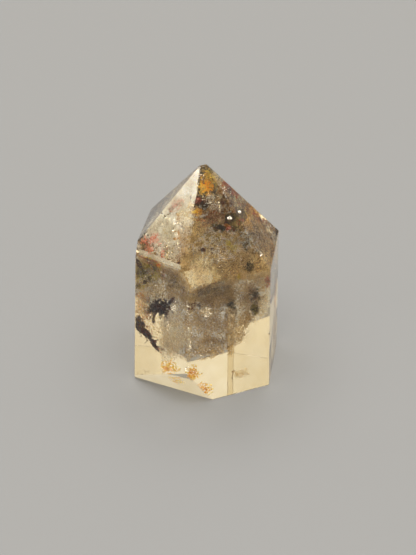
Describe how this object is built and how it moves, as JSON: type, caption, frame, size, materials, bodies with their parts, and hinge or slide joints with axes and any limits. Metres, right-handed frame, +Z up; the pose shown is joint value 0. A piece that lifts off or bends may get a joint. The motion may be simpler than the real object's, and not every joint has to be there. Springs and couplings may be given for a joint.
{
  "type": "garden quartz tower",
  "caption": "Free-standing polished quartz point with a ground flat base, flat prism facets and a six-sided pointed top, clear with mineral inclusions inside.",
  "frame": {"origin": "middle of the flat base", "axes": "+Z up along the crystal towards its point, -Y towards its front edge, +X to the right seen from the front"},
  "size_m": [0.0231, 0.0222, 0.0429],
  "materials": {
    "quartz": "clear polished quartz with a warm smoky tint, see-through",
    "pale_veil": "fine pale mineral dust and healed cracks inside the crystal, matt",
    "brown_bed": "tan to brown mineral grains inside the crystal, matt",
    "green_mineral": "dark green mossy mineral inside the crystal, matt",
    "dark_mineral": "black-brown branching mineral inside the crystal, slightly glossy",
    "red_iron": "red iron oxide flakes inside the crystal, matt",
    "orange_iron": "yellow to orange iron stain inside the crystal, matt",
    "bright_fracture": "small mirror-bright cracks inside the crystal, glossy"
  },
  "bodies": {
    "root": {"quartz_tower": "quartz"}
  },
  "joints": []
}
